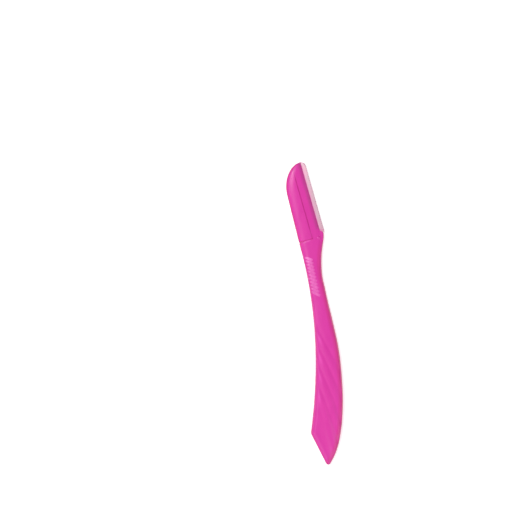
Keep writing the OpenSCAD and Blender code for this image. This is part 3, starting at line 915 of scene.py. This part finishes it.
# Skin guard
# Spring steel foil, 0.08 mm thick, with a row of slots punched through it and folded over the cutting
# edge, so that the edge shows only between the bars. Its front leg is clamped under the front strip.
toe_r, heel_r = 1.7, 0.5
guard_hem, guard_short, slot_pitch, slot_w, slot_depth = 0.8, 0.2, 1, 0.5, 0.7
foil_high = plate_t + blade_t + (fit_gap + guard_t) / 2
foil_low = plate_t - fit_gap - guard_t / 2
fold_r = (foil_high - foil_low) / 2
fold_mid_x, fold_mid_z = outer_x - guard_t / 2 - fold_r, (foil_high + foil_low) / 2
slot_x = outer_x - slot_depth
slot_r = slot_w / 2


def foil_cell(name, half, slotted):
    """One pitch of the foil as an open sheet, folded, with or without its round-ended slot. The slot is
    open between the rows slot_row and slot_end of the path."""
    path = [(outer_x - guard_leg, foil_high), (outer_x - guard_leg / 2, foil_high)]
    path += [(slot_x - slot_r / 2, foil_high), (slot_x + slot_r, foil_high)]
    slot_row = len(path) - 1
    for a in np.linspace(0, np.pi, 13):
        path.append((fold_mid_x + fold_r * math.sin(a), fold_mid_z + fold_r * math.cos(a)))
    path += [(slot_x, foil_low), (outer_x - guard_hem, foil_low)]
    slot_end = len(path) - 2
    ys = [-half, half]
    if slotted:
        ys = sorted(set(ys) | set(np.round(slot_r * np.cos(np.linspace(0, np.pi, 9)), 6)))
    points = [[(x, y, z) for y in ys] for x, z in path]
    if slotted:
        for j, y in enumerate(ys):
            if abs(y) < slot_r:
                points[slot_row][j] = (slot_x + slot_r - math.sqrt(slot_r**2 - y**2), y, foil_high)
    wide = len(ys)
    faces = []
    for i in range(len(path) - 1):
        for j in range(wide - 1):
            in_slot = slotted and abs(ys[j] + ys[j + 1]) < slot_w and slot_row <= i < slot_end
            if not in_slot:
                faces.append((i * wide + j, (i + 1) * wide + j, (i + 1) * wide + j + 1, i * wide + j + 1))
    used = sorted({v for face in faces for v in face})
    flat = [tuple(np.array(p) * MM) for row in points for p in row]
    places = {v: i for i, v in enumerate(used)}
    mesh = bpy.data.meshes.new(name)
    mesh.from_pydata([flat[v] for v in used], [], [[places[v] for v in face] for face in faces])
    made = bpy.data.objects.new(name, mesh)
    scene.collection.objects.link(made)
    return made


def brushed_foil(wire, place):
    """Bright foil with fine lines along it, brighter towards the tip. Its pink is a painted reflection of
    the moulding, strongest near the lip and at its lower end, and the grey patches along the fold are a
    painted reflection of the room."""
    x, y = part(wire, place, 0), part(wire, place, 1)
    lines = noise(wire, place, 0.00006, 2, (1, 60, 1))
    cloud = noise(wire, place, 0.0022, 2, (1, 2, 1))
    patches = band(wire, noise(wire, place, 0.0032, 1, (0.5, 1, 1)), 0.44, 0.58)
    towards_tip = band(wire, y, 22 * MM, tip_y * MM)
    outer = band(wire, x, (edge_x + 0.7) * MM, (edge_x + 1.5) * MM)
    lip_reflection = 1 - band(wire, x, (edge_x + 0.1) * MM, (edge_x + 1.1) * MM)
    low_end = 1 - band(wire, y, 7 * MM, 10 * MM)
    # Painted reflections: pink of the moulding over all the foil, more near the lip and at the lower end,
    # and grey of the room in patches along the fold
    colour = blend(wire, towards_tip, (0.66, 0.39, 0.49, 1), (0.88, 0.49, 0.62, 1))
    colour = blend(wire, 0.5 * band(wire, cloud, 0.45, 0.7), colour, (0.54, 0.43, 0.53, 1))
    colour = blend(wire, 0.6 * outer * patches, colour, (0.6, 0.52, 0.53, 1))
    colour = blend(wire, 0.8 * lip_reflection, colour, (0.94, 0.36, 0.66, 1))
    colour = blend(wire, 0.7 * low_end, colour, (0.72, 0.2, 0.42, 1))
    colour = blend(wire, 0.25 * lines, colour, (1, 0.75, 0.84, 1))
    rough = 0.36 + 0.12 * lines + 0.08 * cloud
    return {"Base Color": colour, "Roughness": rough, "Normal": relief(wire, 0.0015 * lines)}


# One cell is repeated along the edge, with a plain end at each end of the row
guard_low = blade_low_y + guard_short + heel_r
guard_long = blade_len - 2 * guard_short - heel_r - toe_r
guard_mid = guard_low + guard_long / 2
slots = int((guard_long - slot_w) / slot_pitch)
end_long = (guard_long - slots * slot_pitch) / 2
cell = foil_cell("SlotCell", slot_pitch / 2, True)
end_cell = foil_cell("EndCell", end_long / 2, False)

fold = Graph(
    "SlottedFoil",
    {
        "Cell": "NodeSocketObject",
        "End": "NodeSocketObject",
        "Slots": "NodeSocketInt",
        "Pitch": "NodeSocketVector",
        "First": "NodeSocketVector",
        "Low end": "NodeSocketVector",
        "High end": "NodeSocketVector",
        "Finish": "NodeSocketMaterial",
    },
)
given, add = fold.given, fold.add
row = add(
    "GeometryNodeMeshLine",
    {"mode": "OFFSET"},
    {"Count": given("Slots"), "Start Location": given("First"), "Offset": given("Pitch")},
)
cell_shape = add("GeometryNodeObjectInfo", {}, {"Object": given("Cell")}, out="Geometry")
end_shape = add("GeometryNodeObjectInfo", {}, {"Object": given("End")}, out="Geometry")
bars = add("GeometryNodeInstanceOnPoints", {}, {"Points": row, "Instance": cell_shape})
low_end = add("GeometryNodeTransform", {}, {"Geometry": end_shape, "Translation": given("Low end")})
high_end = add("GeometryNodeTransform", {}, {"Geometry": end_shape, "Translation": given("High end")})
sheet = add("GeometryNodeJoinGeometry", {}, {"Geometry": [bars, low_end, high_end]})
sheet = add("GeometryNodeRealizeInstances", {}, {"Geometry": sheet})
sheet = add("GeometryNodeMergeByDistance", {}, {"Geometry": sheet, "Distance": 0.002 * MM})
sheet = add("GeometryNodeSetMaterial", {}, {"Geometry": sheet, "Material": given("Finish")})
reach = (slots - 1) * slot_pitch / 2
end_at = (slots * slot_pitch + end_long) / 2
guard = fold.made(
    "SkinGuard",
    {
        "Cell": cell,
        "End": end_cell,
        "Slots": slots,
        "Pitch": (0, slot_pitch * MM, 0),
        "First": (0, (guard_mid - reach) * MM, 0),
        "Low end": (0, (guard_mid - end_at) * MM, 0),
        "High end": (0, (guard_mid + end_at) * MM, 0),
        "Finish": surface("BrushedFoil", brushed_foil, Metallic=1.0),
    },
    sheet,
)
wall = guard.modifiers.new("Thickness", "SOLIDIFY")
wall.thickness = guard_t * MM
wall.offset = 0
plain(guard)
for spare in (cell, end_cell):
    bpy.data.objects.remove(spare)
smooth(guard)

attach(guard, "root")
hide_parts("skin_guard")
